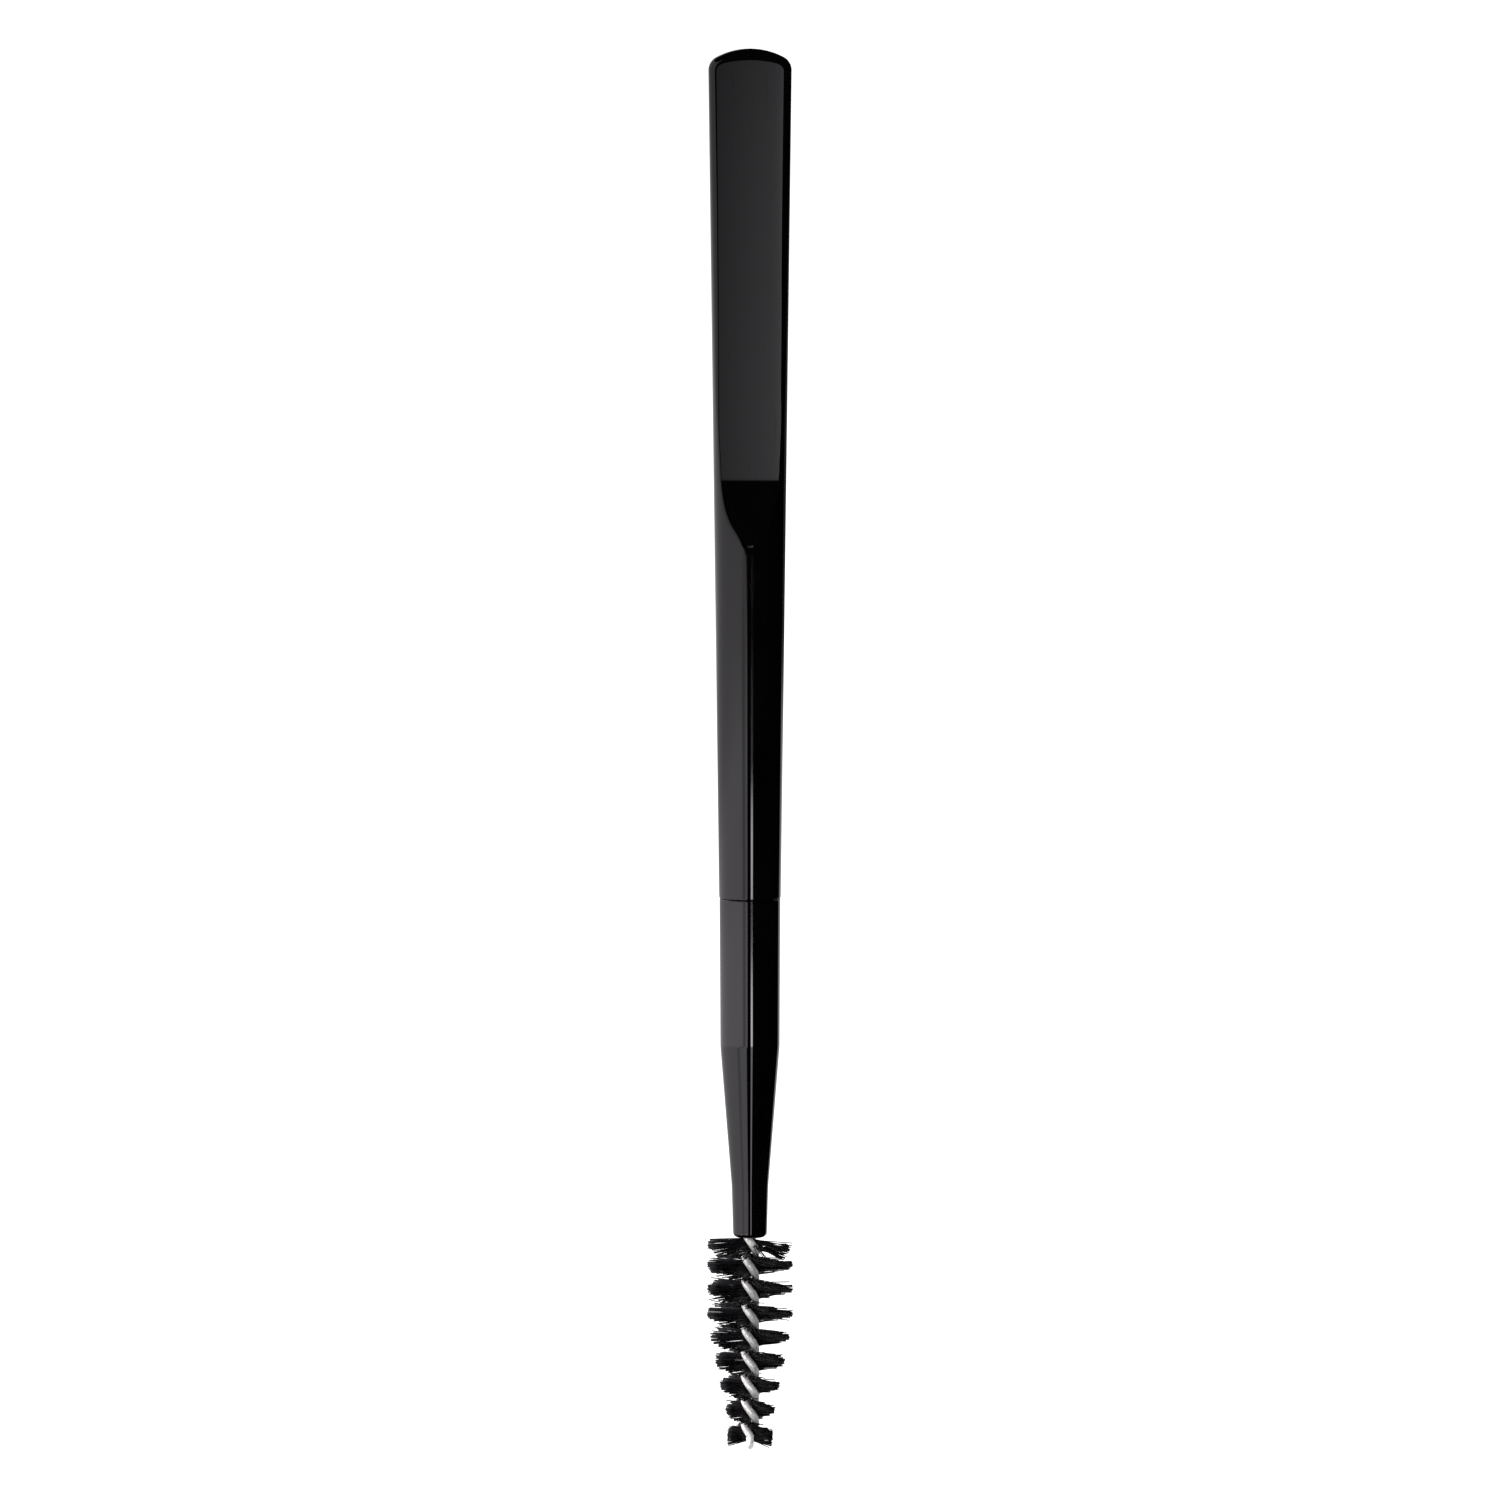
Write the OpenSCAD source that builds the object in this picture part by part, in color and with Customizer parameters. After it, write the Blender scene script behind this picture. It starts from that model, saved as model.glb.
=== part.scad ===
// Dual-ended brow and lash applicator: a handle moulded in one with a flat scoop,
// and a push-fit holder that carries a twisted-wire spoolie.
// The Z axis runs along the tool. z = 0 is the seam between handle and holder,
// the scoop is at the +Z end, and the scoop's flat face looks along -Y.

/* [Handle] */
// Length from the seam to the crown of the scoop
handle_len = 100; // [90:1:130]
// Diameter at the seam
seam_d = 7.24; // [6.8:0.02:9]
// Diameter where the crown of the scoop begins
crown_d = 9.77; // [8.4:0.01:12]

/* [Scoop] */
// Length of the flat face, from its neck to the crown
scoop_len = 50.1; // [36:0.1:60]
// Depth of the flat face below the round handle, at its neck
scoop_depth = 1.8; // [1.2:0.1:2.4]
// Angle that the flat face leans back towards the crown
scoop_lean = 2.5; // [1:0.1:3]
// Thickness at the crown
tip_t = 2.5; // [1.6:0.1:4]
// Radius of the hollow part of the ramp, next to the flat face
ramp_r = 20; // [14:1:24]
// Radius of the round part of the ramp, where it runs out into the handle
ramp_blend_r = 8.7; // [4:0.1:12]
// Radius of the crown
crown_r = 8.4; // [7:0.1:12]
// Radius of the crown's two corners
corner_r = 1.75; // [0.8:0.05:2.4]
// Length above the neck where the back is still round
back_start = 2; // [0:0.5:6]

/* [Holder] */
// Diameter at the seam
holder_d = 7.14; // [6.6:0.02:7.2]
// Diameter at the shoulder
shoulder_d = 6.96; // [6:0.02:7.1]
// Length from the seam to the shoulder
shoulder_len = 17.55; // [12:0.1:22]
// Diameter where the taper becomes the neck
waist_d = 4.3; // [4:0.05:5]
// Length from the seam to that place
waist_len = 34; // [28:0.1:36]
// Diameter at the open end
neck_d = 3.96; // [3.4:0.02:4.2]
// Length from the seam to the open end
holder_len = 40.1; // [37:0.1:48]
// Radius of the soft shoulder
shoulder_r = 12; // [4:1:20]
// Radius of the hollow where the taper becomes the neck
waist_r = 22; // [10:1:30]
// Rounding of the open end
end_round = 0.6; // [0.1:0.02:0.7]

/* [Push fit] */
// Diameter of the spigot
spigot_d = 4.6; // [3.6:0.1:5]
// Length of the spigot
spigot_len = 12; // [8:0.5:16]
// Bevel on the end of the spigot
spigot_bevel = 0.1; // [0.05:0.05:0.4]
// Gap all round between the spigot and its socket
spigot_gap = 0.04; // [0.02:0.01:0.1]
// Spare depth of the socket past the spigot
socket_spare = 0.6; // [0.3:0.1:2]
// Gap between the two faces at the seam
seam_gap = 0.05; // [0.02:0.01:0.2]
// Bevel on both edges of the seam
seam_bevel = 0.1; // [0.05:0.01:0.2]

/* [Wire] */
// Diameter of the wire
wire_d = 0.9; // [0.6:0.05:1]
// Space between the two legs, where the bristles are pinched
pinch = 0.42; // [0.36:0.02:0.5]
// Length of the twisted wire held inside the holder
tail_len = 8; // [5:0.5:12]
// Gap all round between the wire's tail and its bore
tail_gap = 0.02; // [0.01:0.01:0.08]

/* [Brush] */
// Number of bristle rows, one for each half turn of the wire
rows = 9; // [5:1:12]
// Distance between two rows
row_pitch = 2.86; // [2.4:0.02:3.6]
// Distance from the holder's end to the middle of the first row
first_row = 0.45; // [0.3:0.05:2]
// Diameter of the brush where it is full
brush_d = 10.2; // [8:0.1:12]
// Diameter of the brush at its tip
brush_tip_d = 5.5; // [4:0.1:7]
// Number of rows at the full diameter
full_rows = 4.35; // [1:0.05:4.5]
// Loss of diameter with each row after those
row_taper = 1.16; // [0.6:0.02:1.4]
// Thickness of a row at the wire
row_t = 1.2; // [0.8:0.05:1.3]
// Thickness of a row at its tips
row_tip_t = 0.84; // [0.5:0.02:1]
// Space left between two rows, and between a row and the holder
row_gap = 0.06; // [0.02:0.01:0.2]
// Half thickness of the bristles in the pinch, as a share of the pinch
root_share = 0.36; // [0.2:0.02:0.4]
// Length of the straight bristles beside the wire's bend
last_fan = 0.6; // [0.2:0.1:0.8]

/* [Hidden] */
$fn = 96;
BIG = 2 * crown_d;
CORNER_STEPS = 12;
TIP_STEPS = 6;
FAN_EDGES = 24;
WIRE_SIDES = 8;
WIRE_STEP = 22.5;
FAN_STEP = 10;

// Round handle
seam_r = seam_d / 2;
crown_start = crown_r - sqrt(pow(crown_r - corner_r, 2) - pow(crown_d / 2 - corner_r, 2));
cone_slope = (crown_d - seam_d) / 2 / (handle_len - crown_start);
end_r = seam_r + cone_slope * handle_len;

// Scoop, seen from the side as [y, z]
neck_z = handle_len - scoop_len;
neck_r = seam_r + cone_slope * neck_z;
neck_y = scoop_depth - neck_r;
tip_front_y = neck_y + (handle_len - neck_z) * tan(scoop_lean);
tip_back_y = tip_front_y + tip_t;

// Ramp of the scoop: a hollow arc about hollow_c, then a round one about blend_c.
// It runs out just outside the cone, so that it always meets it.
hollow_c = [neck_y, neck_z] + ramp_r * [-cos(scoop_lean), sin(scoop_lean)];
hollow_run = ramp_r * (sin(ramp_turn(neck_r)) - sin(scoop_lean));
ramp_a = ramp_turn(neck_r - cone_slope * hollow_run);
blend_c = hollow_c + (ramp_r + ramp_blend_r) * [cos(ramp_a), -sin(ramp_a)];

// Spoolie
spigot_r = spigot_d / 2;
wire_r = wire_d / 2;
strand_r = pinch / 2 + wire_r;
bore_r = strand_r + wire_r + tail_gap;
bore_len = tail_len + wire_r + tail_gap;
row1_z = -holder_len - first_row;
last_z = row1_z - (rows - 1) * row_pitch;
bend_z = last_z - last_fan - row_gap;
tail_z = tail_len - holder_len;
ray_r = row_pitch / 180;

function unit(v) = v / norm(v);
function ramp_turn(end_r) = acos((ramp_blend_r - end_r - hollow_c[0]) / (ramp_r + ramp_blend_r));
function flat_y(z) = neck_y + (z - neck_z) * tan(scoop_lean);
function row_z(i) = row1_z - (i - 1) * row_pitch;
function brush_r(z) = let (past = (row_z(full_rows) - z) / row_pitch)
  max(brush_tip_d, min(brush_d, brush_d - row_taper * past)) / 2;

// Points of an arc about c
function arc(c, r, a0, a1, n = CORNER_STEPS) =
  [for (k = [0:n]) let (a = a0 + (a1 - a0) * k / n) c + r * [cos(a), sin(a)]];

// The corner at b between the lines to a and c, rounded to the radius r
function rounded(a, b, c, r, n = CORNER_STEPS) =
  let (
    u = unit(a - b),
    v = unit(c - b),
    half = acos(u * v) / 2,
    centre = b + unit(u + v) * r / sin(half),
    p = b + u * r / tan(half) - centre,
    q = b + v * r / tan(half) - centre,
    a0 = atan2(p[1], p[0]),
    turn = atan2(q[1], q[0]) - a0,
    sweep = turn > 180 ? turn - 360 : turn < -180 ? turn + 360 : turn
  )
  arc(centre, r, a0, a0 + sweep, n);

// ---- Handle ----

// Front view of the scoop: round crown, two corners and straight sides
module crown_outline() {
  corner = [crown_d / 2 - corner_r, handle_len - crown_start];
  top = [0, handle_len - crown_r];
  meet = atan2(corner[1] - top[1], corner[0]);
  polygon(concat(
    [[-BIG, -1], [BIG, -1], [BIG, corner[1] - 1], [crown_d / 2, corner[1]]],
    arc(corner, corner_r, 0, meet),
    arc(top, crown_r, meet, 180 - meet, 4 * CORNER_STEPS),
    arc([-corner[0], corner[1]], corner_r, 180 - meet, 180),
    [[-BIG, corner[1] - 1]]
  ));
}

// Side view: flat face in front, hollow ramp down to the round handle, sloping back
module side_profile() {
  polygon(concat(
    [[-BIG, -1], [-BIG, blend_c[1]]],
    arc(blend_c, ramp_blend_r, 180, 180 - ramp_a),
    arc(hollow_c, ramp_r, -ramp_a, -scoop_lean),
    [[flat_y(handle_len + 1), handle_len + 1]],
    [[tip_back_y, handle_len + 1], [tip_back_y, handle_len]],
    [[neck_r, neck_z + back_start], [BIG, neck_z], [BIG, -1]]
  ));
}

module handle() {
  color("#0b0a0c")
  difference() {
    intersection() {
      union() {
        cylinder(h = seam_bevel, r1 = seam_r - seam_bevel, r2 = seam_r + cone_slope * seam_bevel);
        translate([0, 0, seam_bevel])
          cylinder(h = handle_len - seam_bevel, r1 = seam_r + cone_slope * seam_bevel, r2 = end_r);
      }
      translate([0, BIG / 2, 0]) rotate([90, 0, 0]) linear_extrude(BIG) crown_outline();
      translate([-BIG / 2, 0, 0]) rotate([90, 0, 90]) linear_extrude(BIG) side_profile();
    }
    translate([0, 0, -1]) cylinder(h = 1 + spigot_len + socket_spare, r = spigot_r + spigot_gap);
  }
}

// ---- Holder ----

// Half section of the holder below the seam, as [radius, z]
module holder_section() {
  top = [holder_d / 2, -seam_gap - seam_bevel];
  shoulder = [shoulder_d / 2, -shoulder_len];
  waist = [waist_d / 2, -waist_len];
  neck = [neck_d / 2, -holder_len];
  polygon(concat(
    [[0, -seam_gap], [top[0] - seam_bevel, -seam_gap], top],
    rounded(top, shoulder, waist, shoulder_r),
    rounded(shoulder, waist, neck, waist_r),
    rounded(waist, neck, [0, -holder_len], end_round),
    [[0, -holder_len]]
  ));
}

module holder() {
  color("#0b0a0c")
  difference() {
    union() {
      rotate_extrude() holder_section();
      translate([0, 0, -1]) cylinder(h = 1 + spigot_len - spigot_bevel, r = spigot_r);
      translate([0, 0, spigot_len - spigot_bevel])
        cylinder(h = spigot_bevel, r1 = spigot_r, r2 = spigot_r - spigot_bevel);
    }
    translate([0, 0, -holder_len - 1]) cylinder(h = 1 + bore_len, r = bore_r);
  }
}

// ---- Wire ----

// The wire is twisted to the left: its angle grows as z falls, and it stops at the last row
function lay(z) = -90 + (row1_z - max(z, last_z)) / ray_r;
function leg(z, side) = [side * strand_r * cos(lay(z)), side * strand_r * sin(lay(z)), z];
function bend(t) =
  [strand_r * cos(t) * cos(lay(last_z)), strand_r * cos(t) * sin(lay(last_z)), bend_z - strand_r * sin(t)];
function across(z) = [-sin(lay(z)), cos(lay(z)), 0];

module wire_core() {
  turns = (tail_z - last_z) / ray_r;
  steps = ceil(turns / WIRE_STEP);
  heights = [for (k = [0:steps]) tail_z + (last_z - tail_z) * k / steps];
  back_up = [for (k = [0:steps]) heights[steps - k]];
  bend_angles = [for (k = [0:CORNER_STEPS]) 180 * k / CORNER_STEPS];
  path = concat(
    [for (z = heights) leg(z, 1)],
    [for (t = bend_angles) bend(t)],
    [for (z = back_up) leg(z, -1)]
  );
  sides = concat(
    [for (z = heights) across(z)],
    [for (t = bend_angles) across(last_z)],
    [for (z = back_up) across(z)]
  );
  n = len(path) - 1;
  rings = [for (i = [0:n]) let (
    along = unit(path[min(i + 1, n)] - path[max(i - 1, 0)]),
    v = unit(cross(along, sides[i])),
    w = cross(v, along)
  ) for (k = [0:WIRE_SIDES - 1]) let (a = 360 * k / WIRE_SIDES) path[i] + wire_r * (cos(a) * w + sin(a) * v)];
  walls = [for (i = [0:n - 1]) for (k = [0:WIRE_SIDES - 1]) let (next = (k + 1) % WIRE_SIDES)
    [i * WIRE_SIDES + k, i * WIRE_SIDES + next, (i + 1) * WIRE_SIDES + next, (i + 1) * WIRE_SIDES + k]];
  first = [for (k = [0:WIRE_SIDES - 1]) WIRE_SIDES - 1 - k];
  last = [for (k = [0:WIRE_SIDES - 1]) n * WIRE_SIDES + k];
  color("silver") polyhedron(points = rings, faces = concat(walls, [first, last]));
}

// ---- Bristles ----

// Level section of a row: two fans that meet in the pinch between the legs of the wire
module fans(r) {
  waist = root_share * pinch;
  core_a = row_t / 2 / ray_r;
  tip_a = row_tip_t / 2 / ray_r;
  root = waist / tan(core_a);
  right = concat([[root, -waist]], arc([0, 0], r, -tip_a, tip_a, TIP_STEPS), [[root, waist]]);
  polygon(concat(right, [for (p = right) -p]));
}

module bristle_row(i) {
  top = min(row_z(i) + (row_pitch - row_gap) / 2, -holder_len - row_gap);
  low = i == rows ? row_z(i) : row_z(i) - (row_pitch - row_gap) / 2;
  turn = (top - low) / ray_r;
  color("#141318") {
    translate([0, 0, low]) rotate([0, 0, (row_z(i) - low) / ray_r])
      linear_extrude(height = top - low, twist = turn, slices = ceil(turn / FAN_STEP),
        segments = FAN_EDGES, scale = brush_r(top) / brush_r(low))
        fans(brush_r(low));
    if (i == rows) translate([0, 0, low - last_fan]) linear_extrude(last_fan) fans(brush_r(low));
  }
}

handle();
holder();
wire_core();
for (i = [1:rows])
  bristle_row(i);
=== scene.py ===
# %% [markdown]
# # A dual-ended brow and lash applicator
# The tool has a flat scoop at the top and a twisted-wire spoolie at the bottom. Its parts are few and very
# plain, so the picture lives on three things: true curves that carry clean reflections, bristles that are
# real separate filaments, and a light set-up made for gloss black. This lesson builds them in that order.
# The frame holds the design. Everything here is placed from it and never moves it.

# %% Load the frame and keep its box
import math
import random

import bpy
import numpy as np
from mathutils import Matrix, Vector


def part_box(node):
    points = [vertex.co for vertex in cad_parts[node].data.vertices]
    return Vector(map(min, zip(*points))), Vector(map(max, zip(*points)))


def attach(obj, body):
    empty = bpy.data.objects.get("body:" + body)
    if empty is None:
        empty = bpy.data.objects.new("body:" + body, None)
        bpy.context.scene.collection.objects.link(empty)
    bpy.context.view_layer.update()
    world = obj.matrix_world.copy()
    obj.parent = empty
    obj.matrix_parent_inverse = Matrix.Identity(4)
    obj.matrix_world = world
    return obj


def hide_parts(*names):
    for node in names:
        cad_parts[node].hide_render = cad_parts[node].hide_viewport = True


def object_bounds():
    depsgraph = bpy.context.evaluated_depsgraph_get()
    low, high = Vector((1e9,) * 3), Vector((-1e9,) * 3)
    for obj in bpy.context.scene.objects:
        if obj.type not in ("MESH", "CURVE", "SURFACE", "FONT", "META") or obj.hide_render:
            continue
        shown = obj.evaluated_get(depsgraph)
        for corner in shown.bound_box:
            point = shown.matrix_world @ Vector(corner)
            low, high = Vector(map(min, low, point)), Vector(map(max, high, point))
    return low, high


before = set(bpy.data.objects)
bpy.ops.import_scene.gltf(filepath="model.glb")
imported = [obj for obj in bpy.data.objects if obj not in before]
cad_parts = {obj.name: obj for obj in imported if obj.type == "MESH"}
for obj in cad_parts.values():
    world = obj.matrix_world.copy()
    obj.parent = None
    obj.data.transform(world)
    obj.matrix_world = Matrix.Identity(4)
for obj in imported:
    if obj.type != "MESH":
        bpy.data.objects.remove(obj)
cad_low, cad_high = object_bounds()
MM = 0.001
print("CAD box in mm:", [round(v / MM, 2) for v in (*cad_low, *cad_high)])

# %% [markdown]
# ## Two helpers for closed skins
# Each of these pieces is a stack of rings: a lathe turns them, a sweep drags them, a moulding reshapes them.
# One helper joins such a stack into a closed mesh and another one makes the object, puts it on its body
# and hides the CAD nodes it stands in for. Writing the points ourselves, and not bending a primitive, keeps
# every reflection where the design puts it.

# %% Join rings into a closed skin
def skin(rings):
    """Vertices and faces of a tube through rings of equal length, closed by a face at both ends."""
    count = len(rings[0])
    faces = []
    for k in range(len(rings) - 1):
        for i in range(count):
            j = (i + 1) % count
            faces.append((k * count + i, k * count + j, (k + 1) * count + j, (k + 1) * count + i))
    faces.append(tuple(reversed(range(count))))
    faces.append(tuple(range((len(rings) - 1) * count, len(rings) * count)))
    return np.concatenate(rings), faces


def add_piece(name, points, faces, body, nodes, slot, material):
    """A smooth-shaded object from points in millimetres, riding on its body in place of its CAD nodes."""
    mesh = bpy.data.meshes.new(name)
    mesh.from_pydata((np.asarray(points) * MM).tolist(), [], faces)
    mesh.polygons.foreach_set("use_smooth", [True] * len(mesh.polygons))
    mesh.materials.append(material)
    mesh.update()
    piece = bpy.data.objects.new(name, mesh)
    bpy.context.scene.collection.objects.link(piece)
    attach(piece, body)
    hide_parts(*nodes)
    print(name, len(mesh.vertices), "points,", len(mesh.polygons), "faces")


# %% [markdown]
# ## Sizes, read from the frame
# The seam is at z = 0, the scoop points up and the brush points down. The long sizes come from the boxes of
# the CAD nodes, so a change in the design reaches this script by itself. What a box can't tell, such as the
# lean of the flat face or the thickness of the wire, is named here once.

# %% Handle and scoop sizes, in millimetres
handle_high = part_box("handle")[1] / MM
CROWN_Z = handle_high.z
CROWN_HALF = handle_high.x
SEAM_R = 3.62
SEAM_BEVEL = 0.1
SOCKET_R = 2.34
SOCKET_DEPTH = 12.6
CROWN_R = 8.4
CORNER_R = 1.75
NECK_Z = CROWN_Z - 50.1
SCOOP_DEPTH = 1.8
SCOOP_LEAN = math.radians(2.5)
TIP_THICK = 2.5
RAMP_R = 20.0
RAMP_BLEND_R = 8.7
BACK_START_Z = NECK_Z + 2

CORNER_X = CROWN_HALF - CORNER_R
CROWN_MID_Z = CROWN_Z - CROWN_R
CORNER_Z = CROWN_MID_Z + math.sqrt((CROWN_R - CORNER_R) ** 2 - CORNER_X ** 2)
SLOPE = (CROWN_HALF - SEAM_R) / CORNER_Z
NECK_R = SEAM_R + SLOPE * NECK_Z
NECK_Y = SCOOP_DEPTH - NECK_R
TIP_FRONT_Y = NECK_Y + (CROWN_Z - NECK_Z) * math.tan(SCOOP_LEAN)
TIP_BACK_Y = TIP_FRONT_Y + TIP_THICK
print("handle", round(CROWN_Z, 2), "long, widening", round(SLOPE, 4), "mm a mm; neck", round(NECK_R, 2))

# %% Holder, wire and brush sizes, in millimetres
holder_low, holder_high = (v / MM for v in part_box("holder"))
wire_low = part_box("wire_core")[0] / MM
ROWS = sum(name.startswith("bristle_row_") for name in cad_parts)
row_tops = [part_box(f"bristle_row_{i}")[1].z / MM for i in (2, ROWS - 1)]
HOLDER_R = holder_high.x
HOLDER_END = holder_low.z
SPIGOT_TOP = holder_high.z
WIRE_TIP = wire_low.z
WIRE_R = 0.45
PINCH = 0.42
STRAND_R = PINCH / 2 + WIRE_R
ROW_GAP = 0.06
ROW_PITCH = (row_tops[0] - row_tops[1]) / (ROWS - 3)
FIRST_ROW = row_tops[0] - (ROW_PITCH - ROW_GAP) / 2 + ROW_PITCH
LAST_ROW = FIRST_ROW - (ROWS - 1) * ROW_PITCH
TAIL_LEN = 8
TAIL_Z = HOLDER_END + TAIL_LEN
BRUSH_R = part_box("bristle_row_2")[1].x / MM
BRUSH_TIP_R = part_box(f"bristle_row_{ROWS}")[1].x / MM
print(ROWS, "rows,", round(ROW_PITCH, 3), "mm apart, from", round(FIRST_ROW, 2), "to", round(LAST_ROW, 2))

# %% [markdown]
# ## The handle and its scoop
# The handle is one moulding: a long cone that turns into a spatula. A boolean of a cone and a block would
# give knife-sharp rims that no polished moulding has. So each level section is written as two height curves
# over its width, one for the front and one for the back. Both start at the parting line on the side and rise
# to whichever is lower: the round cone, or the flat face with its rounded rim. A soft minimum eases the place
# where they cross.

# %% The outline of the scoop, seen from the front
CROWN_RIM_EXTRA = 0.36


def cone_r(z):
    return SEAM_R + SLOPE * z


def outline_half(z):
    """Half the width of the handle at height z: straight sides, a round corner and the crown's arc."""
    meet_z = CROWN_MID_Z + CROWN_R * (CORNER_Z - CROWN_MID_Z) / (CROWN_R - CORNER_R)
    if z <= CORNER_Z:
        return cone_r(z)
    if z <= meet_z:
        return CORNER_X + math.sqrt(max(CORNER_R ** 2 - (z - CORNER_Z) ** 2, 0.0))
    return math.sqrt(max(CROWN_R ** 2 - (z - CROWN_MID_Z) ** 2, 0.0))


def edge_gap(x, z):
    """How far each point of the level z lies inside the outline; the crown's own rim counts as wider."""
    x = np.abs(x)
    side = cone_r(min(z, CORNER_Z)) - x
    crown = CROWN_R - np.hypot(x, max(z - CROWN_MID_Z, 0.0))
    crown = crown / (1 + CROWN_RIM_EXTRA * np.maximum(1 - (x / CORNER_X) ** 2, 0.0))
    gap = np.minimum(side, crown)
    u, v = x - CORNER_X, z - CORNER_Z
    in_corner = (u > 0) & (v > 0) & (v * CORNER_X < u * (CORNER_Z - CROWN_MID_Z))
    return np.maximum(np.where(in_corner, CORNER_R - np.hypot(u, v), gap), 0.0)


print("half width at the seam, neck and corner:", [round(outline_half(z), 2) for z in (0, NECK_Z, CORNER_Z)])

# %% Side view of the scoop: the ramp, the flat face and the back
HOLLOW_Y = NECK_Y - RAMP_R * math.cos(SCOOP_LEAN)
HOLLOW_Z = NECK_Z + RAMP_R * math.sin(SCOOP_LEAN)


def ramp_turn(end_r):
    """Angle at which the hollow arc hands over, so that the round one runs out at the radius end_r."""
    return math.acos((RAMP_BLEND_R - end_r - HOLLOW_Y) / (RAMP_R + RAMP_BLEND_R))


hollow_run = RAMP_R * (math.sin(ramp_turn(NECK_R)) - math.sin(SCOOP_LEAN))
RAMP_END_Y = -(NECK_R - SLOPE * hollow_run)
RAMP_TURN = ramp_turn(-RAMP_END_Y)
HOLLOW_END_Z = HOLLOW_Z - RAMP_R * math.sin(RAMP_TURN)
RAMP_END_Z = HOLLOW_Z - (RAMP_R + RAMP_BLEND_R) * math.sin(RAMP_TURN)
print("the ramp runs from", round(NECK_Z, 2), "down to", round(RAMP_END_Z, 2))


def front_y(z):
    """The scoop's front: the leaning flat face, then a hollow arc and a round one down to the cone."""
    if z >= NECK_Z:
        return NECK_Y + (z - NECK_Z) * math.tan(SCOOP_LEAN)
    if z >= HOLLOW_END_Z:
        return HOLLOW_Y + math.sqrt(RAMP_R ** 2 - (z - HOLLOW_Z) ** 2)
    if z >= RAMP_END_Z:
        return RAMP_END_Y + RAMP_BLEND_R - math.sqrt(RAMP_BLEND_R ** 2 - (z - RAMP_END_Z) ** 2)
    return -2 * CROWN_HALF


def back_y(z):
    """The scoop's back, which slopes forward to the thin crown."""
    return NECK_R + (TIP_BACK_Y - NECK_R) * (z - BACK_START_Z) / (CROWN_Z - BACK_START_Z)


# %% Front and back surfaces of one level
RIM_HEIGHTS = [0, 9, 31, 47]
RIM_RADII = [0.5, 0.72, 0.9, 0.92]
RIM_BACK = 2.6
FACE_CROWN = 0.0022
PARTING_SHARE = 0.72
BACK_BLEND = 0.5
BACK_LEAD = 4
RING_STEPS = 224


def front_rim(z):
    """Radius of the rounding beside the flat face: almost crisp at the neck, soft at the crown."""
    return float(np.interp(z - NECK_Z, RIM_HEIGHTS, RIM_RADII))


def soft_min(a, b, blend):
    """The smaller of a and b, rounded over where they are closer than blend."""
    blend = np.maximum(np.minimum(blend, 0.8 * np.minimum(a, b)), 1e-9)
    h = np.maximum(blend - np.abs(a - b), 0.0) / blend
    return np.minimum(a, b) - h * h * blend / 4


def bullnose(gap, radius):
    """0 at the edge and 1 from radius inwards, along a quarter of a circle."""
    t = np.clip(gap / radius, 0.0, 1.0)
    return np.sqrt(1.0 - (1.0 - t) ** 2)


def handle_section(z):
    """One closed section of the handle at height z."""
    turn = np.arange(RING_STEPS) * 2 * math.pi / RING_STEPS
    half = outline_half(z)
    x = half * np.sin(turn)
    on_front = np.cos(turn) > 0
    round_share = np.sqrt(np.maximum(1 - (x / half) ** 2, 0.0))
    rise = max(z - NECK_Z, 0.0)
    part_y = (TIP_FRONT_Y + TIP_BACK_Y) / 2 * rise / (CROWN_Z - NECK_Z) * PARTING_SHARE
    gap = edge_gap(x, z)
    cone = np.sqrt(np.maximum(cone_r(z) ** 2 - x ** 2, 0.0))
    blend = 0.08 + 0.2 * rise / (CROWN_Z - NECK_Z)
    front = part_y + cone
    if z > RAMP_END_Z:
        face = part_y - front_y(z) - FACE_CROWN * x ** 2
        front = soft_min(front, face * bullnose(gap, front_rim(z)), blend)
    back = (cone_r(z) - part_y) * round_share
    if z > NECK_Z - BACK_LEAD:
        back = soft_min(back, (back_y(z) - part_y) * bullnose(gap, RIM_BACK), BACK_BLEND)
    y = np.where(on_front, part_y - front, part_y + back)
    return np.stack([x, y, np.full(RING_STEPS, z)], axis=1)


# %% Stack the sections and close the socket
CLOSE = 0.02


def circle(radius, z):
    """A round level ring with as many points as a section of the handle."""
    turn = np.arange(RING_STEPS) * 2 * math.pi / RING_STEPS
    return np.stack([radius * np.sin(turn), -radius * np.cos(turn), np.full(RING_STEPS, z)], axis=1)


def handle_levels():
    """Heights of the sections, close together where the shape turns quickly."""
    crown_turn = math.acos((CORNER_Z + 0.9 - CROWN_MID_Z) / CROWN_R)
    near_seam = [0.12, 0.2, 0.6]
    cone = np.linspace(2, 40, 20)
    ramp = np.linspace(40.1, 50.9, 109)
    face = np.linspace(51.5, 96.5, 66)
    corner = np.linspace(96.56, CORNER_Z + 0.85, 32)
    crown = CROWN_MID_Z + CROWN_R * np.cos(np.linspace(crown_turn, 0.004, 56))
    return np.concatenate([near_seam, cone, ramp, face, corner, crown])


def seam_edge(radius, z, inward, steps=5):
    """Rings of the small rounded edge at the seam; inward is +1 above the seam and -1 below it."""
    bend = np.linspace(0, math.pi / 2, steps)
    return [circle(radius - SEAM_BEVEL * (1 - math.sin(a)), z + inward * SEAM_BEVEL * (1 - math.cos(a)))
            for a in bend]


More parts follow.
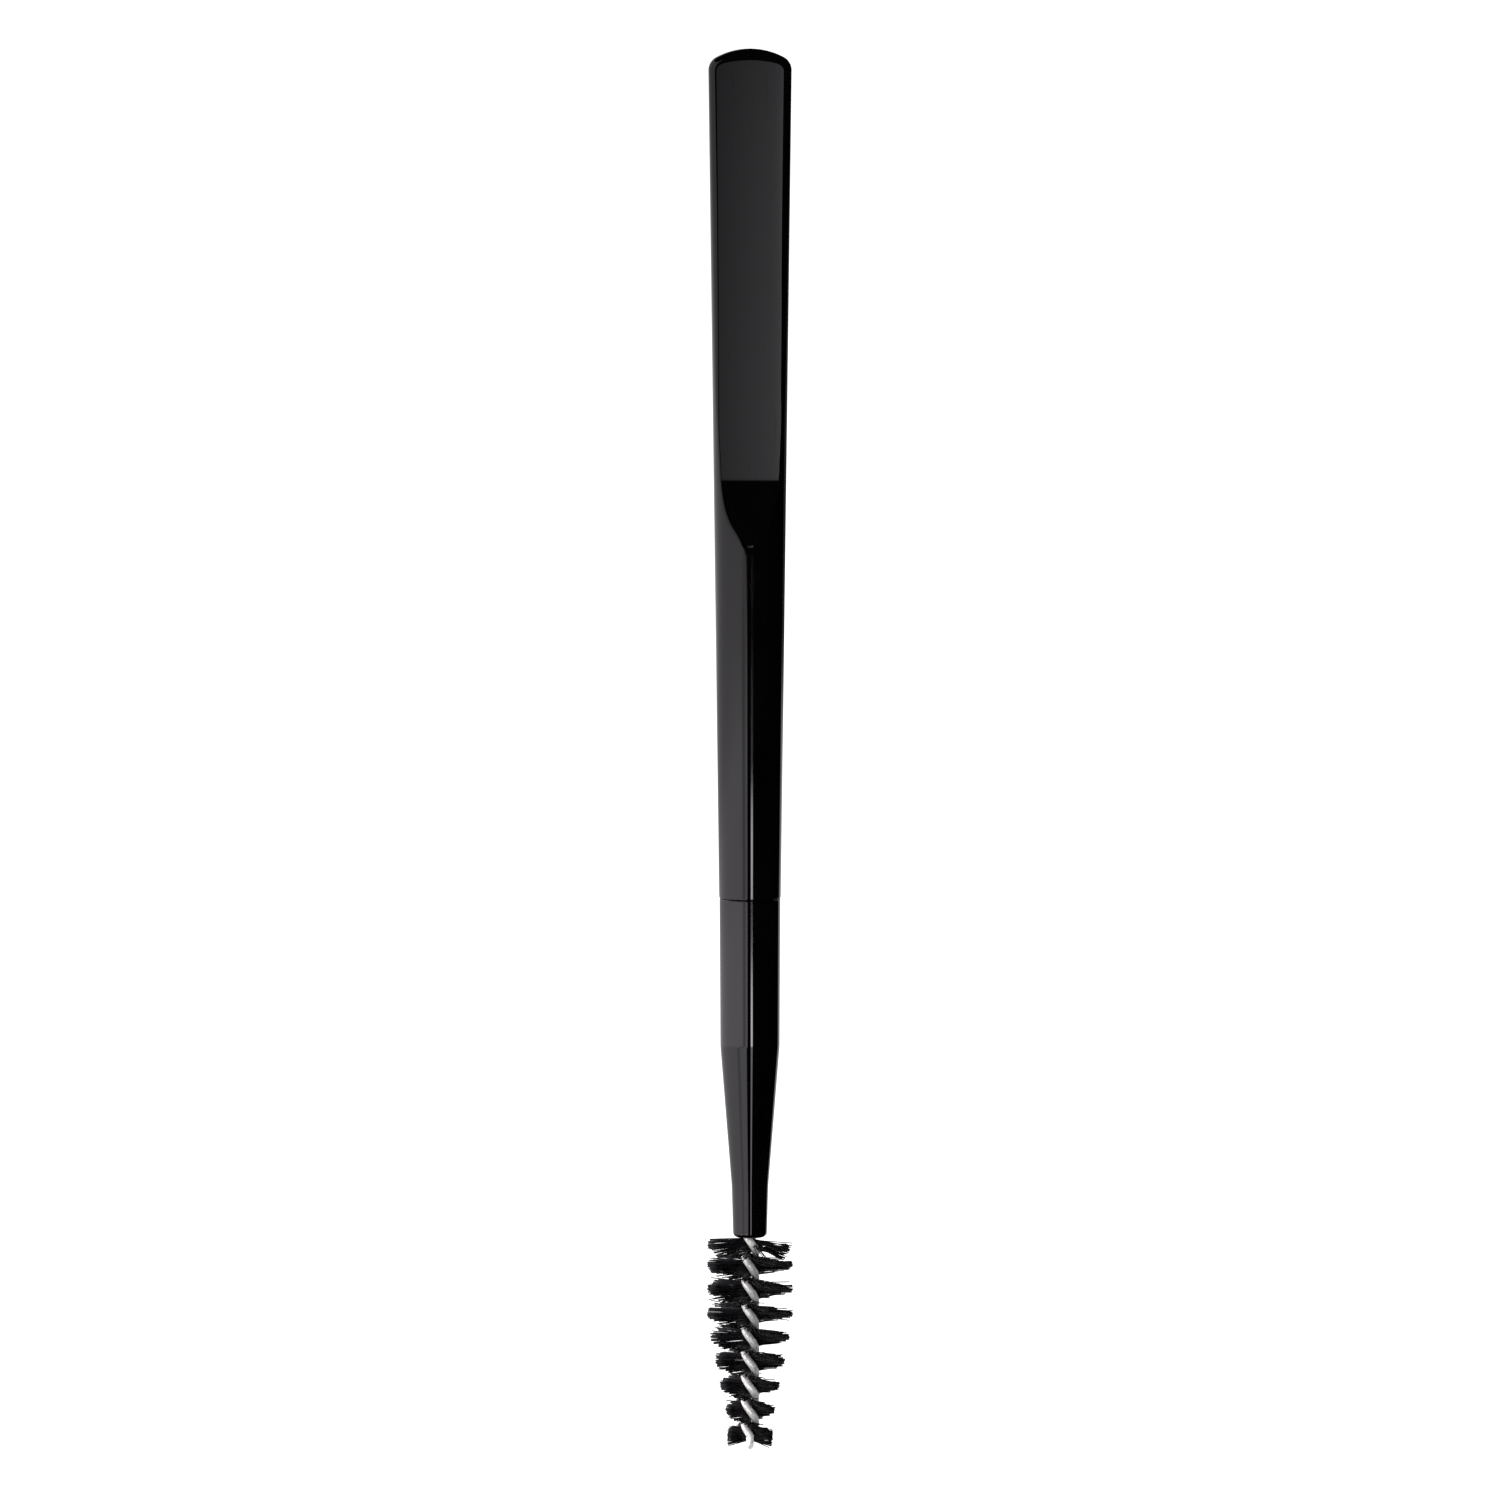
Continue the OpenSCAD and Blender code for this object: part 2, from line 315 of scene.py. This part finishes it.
handle_rings = [circle(r, SOCKET_DEPTH) for r in (0.01, 1.2, SOCKET_R - CLOSE, SOCKET_R)]
handle_rings += [circle(SOCKET_R, z) for z in (SOCKET_DEPTH - CLOSE, 6, CLOSE, 0)]
handle_rings += [circle(SOCKET_R + CLOSE, 0), circle(SEAM_R - SEAM_BEVEL - CLOSE, 0)]
handle_rings += seam_edge(SEAM_R, 0, 1)
handle_rings += [handle_section(z) for z in handle_levels()]
print("the handle is a stack of", len(handle_rings), "rings")

# %% [markdown]
# ## Gloss black plastic
# A piano-black moulding is almost all reflection: the colour under the gloss is nearly nothing. What makes it
# read as plastic and not as a mirror is small: a trace of waviness from the mould, a roughness that drifts a
# little from handling, and a few hair-fine polishing marks along its length. All three are noise in the
# object's own space.

# %% Helpers for materials
def new_material(name):
    """A node material with its nodes, its links and its main shader."""
    material = bpy.data.materials.new(name)
    material.use_nodes = True
    nodes, links = material.node_tree.nodes, material.node_tree.links
    return material, nodes, links, nodes["Principled BSDF"]


def noise(nodes, links, scale, detail=2.0, stretch=(1, 1, 1)):
    """A noise texture in the object's own space, with scale in waves per metre."""
    where = nodes.new("ShaderNodeTexCoord")
    mapping = nodes.new("ShaderNodeMapping")
    mapping.inputs["Scale"].default_value = stretch
    texture = nodes.new("ShaderNodeTexNoise")
    texture.inputs["Scale"].default_value = scale
    texture.inputs["Detail"].default_value = detail
    links.new(where.outputs["Object"], mapping.inputs["Vector"])
    links.new(mapping.outputs["Vector"], texture.inputs["Vector"])
    return texture.outputs["Fac"]


def spread(nodes, links, value, low, high, start=0.0, end=1.0):
    """Maps value from start..end to low..high."""
    ramp = nodes.new("ShaderNodeMapRange")
    ramp.inputs["From Min"].default_value = start
    ramp.inputs["From Max"].default_value = end
    ramp.inputs["To Min"].default_value = low
    ramp.inputs["To Max"].default_value = high
    links.new(value, ramp.inputs["Value"])
    return ramp.outputs["Result"]


def added(nodes, links, a, b):
    """The sum of two values."""
    total = nodes.new("ShaderNodeMath")
    total.operation = "ADD"
    links.new(a, total.inputs[0])
    links.new(b, total.inputs[1])
    return total.outputs[0]


def tint(nodes, links, value, dark, light):
    """A colour between dark and light, by value."""
    ramp = nodes.new("ShaderNodeValToRGB")
    ramp.color_ramp.elements[0].position = 0.3
    ramp.color_ramp.elements[0].color = (*dark, 1)
    ramp.color_ramp.elements[1].position = 0.7
    ramp.color_ramp.elements[1].color = (*light, 1)
    links.new(value, ramp.inputs["Fac"])
    return ramp.outputs["Color"]


def relief(nodes, links, height, strength, distance):
    """A shading normal that follows height, with distance in metres."""
    bump = nodes.new("ShaderNodeBump")
    bump.inputs["Strength"].default_value = strength
    bump.inputs["Distance"].default_value = distance
    links.new(height, bump.inputs["Height"])
    return bump.outputs["Normal"]


# %% Gloss black
BLACK_DARK = (0.0003, 0.0003, 0.0004)
BLACK_LIGHT = (0.0007, 0.0006, 0.0008)
BLACK_ROUGH = 0.03


def gloss_black(name, bend, drift):
    """Polished black moulding; bend is its refractive index and drift is how much its gloss varies."""
    material, nodes, links, shader = new_material(name)
    shader.inputs["IOR"].default_value = bend
    cloud = noise(nodes, links, 90, 3)
    links.new(tint(nodes, links, cloud, BLACK_DARK, BLACK_LIGHT), shader.inputs["Base Color"])
    marks = noise(nodes, links, 2600, 2, (1, 1, 0.03))
    gloss = spread(nodes, links, cloud, BLACK_ROUGH, BLACK_ROUGH + drift, 0.3, 0.7)
    scuff = spread(nodes, links, marks, 0.0, 0.05, 0.62, 0.8)
    links.new(added(nodes, links, gloss, scuff), shader.inputs["Roughness"])
    links.new(relief(nodes, links, marks, 0.05, 2e-6), shader.inputs["Normal"])
    return material


handle_black = gloss_black("gloss_black_handle", 1.46, 0.03)
holder_black = gloss_black("gloss_black_holder", 1.52, 0.02)
add_piece("handle_with_scoop", *skin(handle_rings), "handle", ["handle"], "handle_plastic", handle_black)

# %% [markdown]
# ## The brush holder
# The holder is turned: nothing on it depends on the angle. A lathe of its half section is therefore exact.
# The section has three corners below the seam and each is rounded by a true arc: a soft shoulder, the long
# hollow sweep into the neck, and the small round-over at the open end. The spigot goes up into the handle's
# socket, and the wire's bore comes in from below.

# %% Round a corner of a section
def rounded(a, b, c, radius, steps=20):
    """Points of the arc that replaces the corner b between a and c."""
    a, b, c = (np.array(p, float) for p in (a, b, c))
    u, v = (a - b) / np.linalg.norm(a - b), (c - b) / np.linalg.norm(c - b)
    half = math.acos(float(u @ v)) / 2
    centre = b + (u + v) / np.linalg.norm(u + v) * radius / math.sin(half)
    p, q = b + u * radius / math.tan(half) - centre, b + v * radius / math.tan(half) - centre
    start = math.atan2(p[1], p[0])
    turn = (math.atan2(q[1], q[0]) - start + math.pi) % (2 * math.pi) - math.pi
    angles = [start + turn * k / steps for k in range(steps + 1)]
    return [centre + radius * np.array([math.cos(a), math.sin(a)]) for a in angles]


def braced(section, close=0.05, far=0.5):
    """Adds a point near both ends of every long straight, so that its shading stays straight."""
    section = [np.array(p, float) for p in section]
    out = [section[0]]
    for p, q in zip(section, section[1:]):
        length = np.linalg.norm(q - p)
        if length > far:
            out += [p + (q - p) * close / length, q + (p - q) * close / length]
        out.append(q)
    return out


# %% Lathe the holder
SEAM_GAP = 0.05
SPIGOT_R = 2.3
TAIL_GAP = 0.02
BORE_R = STRAND_R + WIRE_R + TAIL_GAP
BORE_TOP = TAIL_Z + WIRE_R + TAIL_GAP
SHOULDER = (3.48, -17.55)
WAIST = (2.15, -34.0)
NECK = (1.98, HOLDER_END)
SHOULDER_ARC = 12
WAIST_ARC = 22
END_ROUND = 0.6

top_edge = (HOLDER_R, -SEAM_GAP - SEAM_BEVEL)
outside = rounded(top_edge, SHOULDER, WAIST, SHOULDER_ARC)
outside += rounded(SHOULDER, WAIST, NECK, WAIST_ARC)
outside += rounded(WAIST, NECK, (0, HOLDER_END), END_ROUND, 12)
holder_rings = [circle(r, SPIGOT_TOP) for r in (0.01, SPIGOT_R - SEAM_BEVEL)]
holder_rings += [circle(SPIGOT_R, z) for z in (SPIGOT_TOP - SEAM_BEVEL, 6, CLOSE - SEAM_GAP, -SEAM_GAP)]
holder_rings += [circle(SPIGOT_R + CLOSE, -SEAM_GAP), circle(HOLDER_R - SEAM_BEVEL - CLOSE, -SEAM_GAP)]
holder_rings += seam_edge(HOLDER_R, -SEAM_GAP, -1)
holder_rings += [circle(r, z) for r, z in braced([top_edge, *outside])]
holder_rings += [circle(BORE_R + CLOSE, HOLDER_END)]
holder_rings += [circle(BORE_R, z) for z in (HOLDER_END, HOLDER_END + CLOSE, BORE_TOP - CLOSE, BORE_TOP)]
holder_rings += [circle(0.01, BORE_TOP)]
add_piece("brush_holder", *skin(holder_rings), "head", ["holder"], "holder_plastic", holder_black)

# %% [markdown]
# ## The twisted wire
# One straight wire is bent into a U, the bristles are laid between its legs, and the open end is spun. So
# the two strands are a double helix, joined by the bend at the tip, and both ends sit in the holder's bore. A
# sweep along that single path gives it. The section is carried by the direction in which the bristles point,
# which never flips, not even round the bend, so the skin has no twist of its own.

# %% Path of the wire
LEG_STEPS = 360
BEND_STEPS = 25


def lay(z):
    """Angle of the first leg at height z. It is twisted to the left and straight below the last row."""
    return -math.pi / 2 + (FIRST_ROW - max(z, LAST_ROW)) * math.pi / ROW_PITCH


def leg_point(z, side):
    """Centre of one leg of the wire at height z; side is +1 or -1."""
    return np.array([side * STRAND_R * math.cos(lay(z)), side * STRAND_R * math.sin(lay(z)), z])


def across(z):
    """Direction of the bristles at height z, square to the line between the strands."""
    return np.array([-math.sin(lay(z)), math.cos(lay(z)), 0.0])


def wire_path():
    """Centre points of the wire and, at each, the direction of the bristles."""
    heights = np.linspace(TAIL_Z, LAST_ROW, LEG_STEPS)
    bend_z = WIRE_TIP + WIRE_R + STRAND_R
    out = np.array([math.cos(lay(LAST_ROW)), math.sin(lay(LAST_ROW)), 0.0])
    bend = [STRAND_R * math.cos(t) * out + np.array([0, 0, bend_z - STRAND_R * math.sin(t)])
            for t in np.linspace(0, math.pi, BEND_STEPS)]
    down = [across(z) for z in heights]
    points = [leg_point(z, 1) for z in heights] + bend + [leg_point(z, -1) for z in heights[::-1]]
    return np.array(points), np.array(down + [across(LAST_ROW)] * BEND_STEPS + down[::-1])


def sweep(points, sides, radius, count):
    """Rings of one radius round a path, turned by the side directions."""
    turn = np.arange(count)[:, None] * 2 * math.pi / count
    rings = []
    for i, p in enumerate(points):
        along = points[min(i + 1, len(points) - 1)] - points[max(i - 1, 0)]
        along = along / np.linalg.norm(along)
        v = np.cross(along, sides[i])
        v = v / np.linalg.norm(v)
        w = np.cross(v, along)
        rings.append(p + radius * (np.cos(turn) * w + np.sin(turn) * v))
    return rings


wire_points, wire_sides = wire_path()
wire_rings = sweep(wire_points, wire_sides, WIRE_R, 20)
print("the wire makes", round((TAIL_Z - LAST_ROW) / ROW_PITCH / 2, 1), "turns")

# %% Bright wire
WIRE_DARK = (0.62, 0.61, 0.6)
WIRE_LIGHT = (0.98, 0.97, 0.95)


def bright_wire():
    """Drawn steel wire: bright, slightly rough, and speckled with small pits and dust from the bristles."""
    material, nodes, links, shader = new_material("bright_wire")
    shader.inputs["Metallic"].default_value = 0.6
    specks = noise(nodes, links, 5200, 3)
    cloud = noise(nodes, links, 900, 3)
    pits = spread(nodes, links, specks, -0.45, 0.2, 0.34, 0.5)
    haze = spread(nodes, links, cloud, 0.25, 0.75, 0.3, 0.7)
    shade = added(nodes, links, pits, haze)
    links.new(tint(nodes, links, shade, WIRE_DARK, WIRE_LIGHT), shader.inputs["Base Color"])
    links.new(spread(nodes, links, specks, 0.55, 0.28, 0.3, 0.6), shader.inputs["Roughness"])
    links.new(relief(nodes, links, specks, 0.35, 1.5e-5), shader.inputs["Normal"])
    return material


add_piece("twisted_wire", *skin(wire_rings), "head", ["wire_core"], "steel_wire", bright_wire())

# %% [markdown]
# ## The bristles
# A brush of this kind is a single layer of nylon filaments, each pinched at its middle and pointing both
# ways. The spin of the wire fans them into a screw, and each half turn shows as one row. A textured fin would
# look solid, so every filament is its own thin tube with cut ends. It leaves the wire square to the line
# between the two strands, with a small seeded error in direction, height, bend and length, which is all that
# separates a real brush from a drawn one. The first row is half cut away by the holder: it is thinner, and on
# the right it is splayed downwards. Each row becomes one object, because each row is one node of the design.

# %% Where the filaments start and end
FULL_ROWS = 3.35
RADIUS_LOSS = 0.58
LAST_ROOTS = 0.75


def brush_r(z):
    """Radius of the cut brush: full at the top, then a straight taper and a short even tip."""
    full_until = FIRST_ROW - FULL_ROWS * ROW_PITCH
    return max(BRUSH_TIP_R, min(BRUSH_R, BRUSH_R - RADIUS_LOSS * (full_until - z) / ROW_PITCH))


def root_span(row):
    """Lowest and highest place on the wire where the filaments of a row are pinched."""
    low = FIRST_ROW - (row - 0.5) * ROW_PITCH if row < ROWS else LAST_ROW - LAST_ROOTS
    return low, min(FIRST_ROW - (row - 1.5) * ROW_PITCH, HOLDER_END - 2 * ROW_GAP)


print("roots of the first row:", [round(z, 2) for z in root_span(1)])

# %% One filament
FILAMENT_R = 0.058
FILAMENT_SIDES = 6
PER_ROW = 140
ARM_SHARES = (0.06, 0.25, 0.5, 0.75, 1.0)
HEADING_ERROR = 0.16
SIDE_ERROR = 0.05
LIFT_ERROR = 0.032
CURL_ERROR = 0.05
LENGTH_ERROR = 0.12
STRAY_SHARE = 0.02
STRAY_LIFT = (-0.22, 0.12)
LOOSE_ENDS = 0.8
TRIM_AT = 0.8
LEAST_CUT = 0.02
THICKNESS_SHARE = (0.88, 1.08)
FLARE = 0.14
FLARE_START = 0.45
DROOP_POWER = 1.4
DROOP_LIFT = 0.58
DROOP_TURN = 0.7
DROOP_CUT = 0.9


def arm(root_z, heading, lift, curl, cut):
    """Points of one half of a filament, from the pinch to its tip, which is cut short by cut."""
    reach = brush_r(root_z + math.tan(lift) * BRUSH_R * TRIM_AT) * math.cos(lift) - cut
    points = []
    for share in ARM_SHARES:
        r = reach * share
        turn = heading + curl * share * share
        z = root_z + r * math.tan(lift) - 0.02 * curl * r
        points.append([r * math.cos(turn), r * math.sin(turn), z])
    return points


def splay(rng, root_z, turn, lift):
    """Turn, lift and droop of a filament of the first row, which hangs down on its right-hand side."""
    low, top = root_span(1)
    high = (root_z - low) / (top - low)
    droop = high * rng.random() ** DROOP_POWER if math.cos(turn) > 0 else 0.0
    lift = -0.02 - 0.04 * high - 0.5 * abs(lift) - DROOP_LIFT * droop
    return turn - DROOP_TURN * droop, lift, droop


def filament(rng, row, root_z):
    """Rings of one filament through the pinch at root_z."""
    heading = lay(root_z) + math.pi / 2 + rng.gauss(0, HEADING_ERROR)
    loose = 1.0 + LOOSE_ENDS * (row in (1, ROWS))
    ends = []
    for side in (0, math.pi):
        turn = heading + side + rng.gauss(0, SIDE_ERROR * loose)
        lift = rng.gauss(0, LIFT_ERROR * loose)
        droop = 0.0
        if rng.random() < STRAY_SHARE * loose:
            lift += rng.uniform(*STRAY_LIFT)
        if row == 1:
            turn, lift, droop = splay(rng, root_z, turn, lift)
        if row == ROWS and root_z < LAST_ROW - FLARE_START:
            lift -= abs(rng.gauss(0, FLARE))
        cut = abs(rng.gauss(0, LENGTH_ERROR)) + LEAST_CUT + DROOP_CUT * droop
        ends.append(arm(root_z, turn, lift, rng.gauss(0, CURL_ERROR), cut))
    points = np.array(ends[1][::-1] + ends[0])
    radius = FILAMENT_R * rng.uniform(*THICKNESS_SHARE)
    return sweep(points, [np.array([0.0, 0.0, 1.0])] * len(points), radius, FILAMENT_SIDES)


def row_mesh(row):
    """All filaments of one row as one mesh. The first row has half as many as the others."""
    rng = random.Random(100 + row)
    low, top = root_span(row)
    count = PER_ROW // 2 if row == 1 else PER_ROW
    points, faces = [], []
    for k in range(count):
        root_z = low + (top - low) * (k + rng.random()) / count
        ring_points, ring_faces = skin(filament(rng, row, root_z))
        faces += [tuple(i + len(points) * len(ring_points) for i in face) for face in ring_faces]
        points.append(ring_points)
    return np.concatenate(points), faces


# %% Black nylon
NYLON_DARK = (0.0012, 0.0011, 0.0014)
NYLON_LIGHT = (0.0055, 0.005, 0.0065)


def black_nylon():
    """Drawn black nylon: dark, with a soft violet-grey sheen that differs a little along the brush."""
    material, nodes, links, shader = new_material("black_nylon")
    shader.inputs["IOR"].default_value = 1.53
    shader.inputs["Specular IOR Level"].default_value = 0.28
    cloud = noise(nodes, links, 1800, 2)
    links.new(tint(nodes, links, cloud, NYLON_DARK, NYLON_LIGHT), shader.inputs["Base Color"])
    links.new(spread(nodes, links, cloud, 0.2, 0.4, 0.3, 0.7), shader.inputs["Roughness"])
    return material


nylon = black_nylon()
for row in range(1, ROWS + 1):
    add_piece(f"bristles_{row}", *row_mesh(row), "head", [f"bristle_row_{row}"], "nylon_bristle", nylon)

# %% [markdown]
# ## The studio
# Black gloss has no colour to light: it shows the room. So the room is designed as a tent of reflections
# round the tool, seen only by glossy surfaces. A broad dim panel on the left draws the grey half of the cone,
# a narrow bright strip just right of the camera draws the thin line down the holder, a faint light behind
# traces the far edge, and a small card in front is caught only by the flat face, because that face leans
# back. A plain white world lights the pale floor, and a soft key from the left brings out the wire. Gloss
# sees neither.

# %% World, floor and key
WORLD_LIGHT = 1.15
FLOOR_DROP = 0.02
KEY_PLACE = (-1.5, -0.8, 0.7)
KEY_SIZE = 0.6
KEY_POWER = 50


def white_world(strength):
    """An even white world that glossy surfaces don't see."""
    world = bpy.data.worlds.new("white_studio")
    world.use_nodes = True
    background = world.node_tree.nodes["Background"]
    background.inputs["Color"].default_value = (1, 1, 1, 1)
    background.inputs["Strength"].default_value = strength
    world.cycles_visibility.glossy = False
    bpy.context.scene.world = world


def pale_floor(drop, half=20.0):
    """A wide matt floor, drop metres below the tool, so that the head can be pulled off above it."""
    z = cad_low.z - drop
    corners = [(-half, -half, z), (half, -half, z), (half, half, z), (-half, half, z)]
    mesh = bpy.data.meshes.new("floor")
    mesh.from_pydata(corners, [], [(0, 1, 2, 3)])
    material, nodes, links, shader = new_material("pale_floor")
    shader.inputs["Specular IOR Level"].default_value = 0.0
    shader.inputs["Roughness"].default_value = 1.0
    cloud = noise(nodes, links, 6, 2)
    links.new(tint(nodes, links, cloud, (0.93, 0.93, 0.93), (0.95, 0.95, 0.95)), shader.inputs["Base Color"])
    mesh.materials.append(material)
    floor = bpy.data.objects.new("floor", mesh)
    bpy.context.scene.collection.objects.link(floor)
    floor.visible_glossy = False


def soft_key(place, size, power):
    """A soft square light that looks at the brush and that glossy surfaces don't see."""
    light = bpy.data.lights.new("soft_key", "AREA")
    light.size = size
    light.energy = power
    lamp = bpy.data.objects.new("soft_key", light)
    lamp.location = place
    aim = Vector((0, 0, 0.5 * (HOLDER_END + WIRE_TIP) * MM)) - lamp.location
    lamp.rotation_euler = aim.to_track_quat("-Z", "Y").to_euler()
    lamp.visible_glossy = False
    bpy.context.scene.collection.objects.link(lamp)


white_world(WORLD_LIGHT)
pale_floor(FLOOR_DROP)
soft_key(KEY_PLACE, KEY_SIZE, KEY_POWER)
print("the floor is", FLOOR_DROP / MM, "mm below the tool")

# %% The lights of the tent, by turn in degrees to the right of the camera and height in mm above the seam
PANEL_HEIGHTS = [-560, -470, -260, -210, -176, -164, -140, -118, -60]
PANEL_LEVELS = [2.2, 1.4, 1.45, 1.8, 1.8, 1.25, 1.1, 0.65, 0.8]
PANEL_EDGE_HEIGHTS = [-300, -240, -160, -130]
PANEL_EDGE_TURNS = [12, 9.2, 9.2, 24]
FOLD_HEIGHTS = [-280, -230]
FOLD_TURNS = [-46, -22]
FOLD_DEPTHS = [0.35, 0.5]
FOLD_WIDTH = 6
STRIP_HEIGHTS = [-420, -260, -230, -190]
STRIP_LEVELS = [2.6, 2.6, 8.0, 10.5]
FAR_RIM_LEVEL = 0.68
CARD_HEIGHTS = [29, 86]
CARD_LEVELS = [0.84, 0.64]


def ease(value, start, end):
    """0 before start, 1 after end, smooth between."""
    t = min(max((value - start) / (end - start), 0.0), 1.0)
    return t * t * (3 - 2 * t)


def by_height(h, heights, values):
    """The value at height h, on straight lines between the heights of a table."""
    return float(np.interp(h, heights, values))


def left_panel(turn, h):
    """A broad dim panel on the left, with a darker fold in it that draws a line down the holder."""
    level = by_height(h, PANEL_HEIGHTS, PANEL_LEVELS)
    near = by_height(h, PANEL_EDGE_HEIGHTS, PANEL_EDGE_TURNS)
    left = ease(-turn, near, near + 0.7) * (1 - ease(-turn, 171, 178))
    fold = by_height(h, FOLD_HEIGHTS, FOLD_TURNS)
    depth = by_height(h, FOLD_HEIGHTS, FOLD_DEPTHS)
    shade = 1 - depth * math.exp(-((turn - fold) / FOLD_WIDTH) ** 2)
    shade += (1 - shade) * ease(h, -164, -150)
    return level * left * shade * (1 - 0.6 * ease(-turn, 50, 170) * (1 - ease(h, -150, -120)))


def thin_strip(turn, h):
    """A narrow bright strip just right of the camera, low enough to end a little above the seam."""
    strip = ease(turn, 2.4, 3.8) * (1 - ease(turn, 9.6, 10.8)) * (1 - ease(h, -190, -182))
    return strip * by_height(h, STRIP_HEIGHTS, STRIP_LEVELS)


def far_rim(turn, h):
    """A faint light behind, on the right, for the far edge."""
    return FAR_RIM_LEVEL * ease(turn, 136, 142) * (1 - 0.9 * ease(h, -147, -137))


def front_card(turn, h):
    """A small card in front for the flat face, a little brighter to the right and towards the neck."""
    card = by_height(h, CARD_HEIGHTS, CARD_LEVELS) * (1 + 0.16 * turn + 0.5 * ease(turn, 1.4, 2.4))
    return card * (1 - ease(abs(turn), 4, 5)) * ease(h, 8, 22) * (1 - ease(h, 90, 104))


def tent_light(turn, h):
    """Brightness of the whole tent in one direction."""
    return left_panel(turn, h) + thin_strip(turn, h) + far_rim(turn, h) + front_card(turn, h)


samples = [tent_light(turn, h) for turn, h in ((-60, -100), (6, -300), (0, 50))]
print("brightness of the panel, the strip and the card:", [round(v, 2) for v in samples])

# %% The tent
TENT_R = 1500
TENT_COLOUR = (1.0, 0.955, 1.0, 1)


def tent_material():
    """Emission that follows the brightness stored at each point of the tent."""
    material = bpy.data.materials.new("tent_light")
    material.use_nodes = True
    nodes, links = material.node_tree.nodes, material.node_tree.links
    nodes.clear()
    read = nodes.new("ShaderNodeAttribute")
    read.attribute_name = "glow"
    shine = nodes.new("ShaderNodeEmission")
    shine.inputs["Color"].default_value = TENT_COLOUR
    out = nodes.new("ShaderNodeOutputMaterial")
    links.new(read.outputs["Fac"], shine.inputs["Strength"])
    links.new(shine.outputs["Emission"], out.inputs["Surface"])
    return material


def light_tent():
    """A cylinder round the tool, fine in front of it and coarse elsewhere."""
    turns = np.concatenate([np.arange(-180, -12, 2.0), np.arange(-12, 14, 0.2), np.arange(14, 180.1, 2.0)])
    heights = np.concatenate([np.arange(-1500, -320, 40), np.arange(-320, 140, 4), np.arange(140, 1501, 40)])
    points = [(TENT_R * MM * math.sin(math.radians(t)), -TENT_R * MM * math.cos(math.radians(t)), h * MM)
              for h in heights for t in turns]
    n = len(turns)
    faces = [(k * n + i, k * n + i + 1, (k + 1) * n + i + 1, (k + 1) * n + i)
             for k in range(len(heights) - 1) for i in range(n - 1)]
    mesh = bpy.data.meshes.new("light_tent")
    mesh.from_pydata(points, [], faces)
    glow = mesh.attributes.new("glow", "FLOAT", "POINT")
    glow.data.foreach_set("value", [tent_light(t, h) for h in heights for t in turns])
    mesh.materials.append(tent_material())
    tent = bpy.data.objects.new("light_tent", mesh)
    bpy.context.scene.collection.objects.link(tent)
    tent.visible_camera = False
    tent.visible_diffuse = False
    tent.visible_shadow = False
    print("the tent has", len(points), "points")


light_tent()

# %% [markdown]
# ## The camera
# A long lens far away keeps the two long outlines as straight as they are. It stands straight in front of
# the flat face and a little above it. The colours go to the screen without a film curve, so that white stays
# white and the tones of the black are those that the tent gives them.

# %% Camera
ELEVATION = math.radians(6)
HEIGHT_SHOWN = 0.176


def long_lens(elevation, height_shown, lens=1600):
    """A camera at azimuth 0 that shows height_shown metres and has the middle of the tool at its centre."""
    centre = (cad_low + cad_high) / 2
    data = bpy.data.cameras.new("camera")
    data.lens = lens
    data.sensor_width = 36
    data.clip_end = 100
    away = height_shown * lens / data.sensor_width
    camera = bpy.data.objects.new("camera", data)
    camera.location = (0, -away * math.cos(elevation), centre.z + away * math.sin(elevation))
    camera.rotation_euler = (math.pi / 2 - elevation, 0, 0)
    bpy.context.scene.collection.objects.link(camera)
    bpy.context.scene.camera = camera
    print("the camera is", round(away, 2), "m away")


long_lens(ELEVATION, HEIGHT_SHOWN)
bpy.context.scene.view_settings.view_transform = "Standard"
bpy.context.scene.view_settings.look = "None"
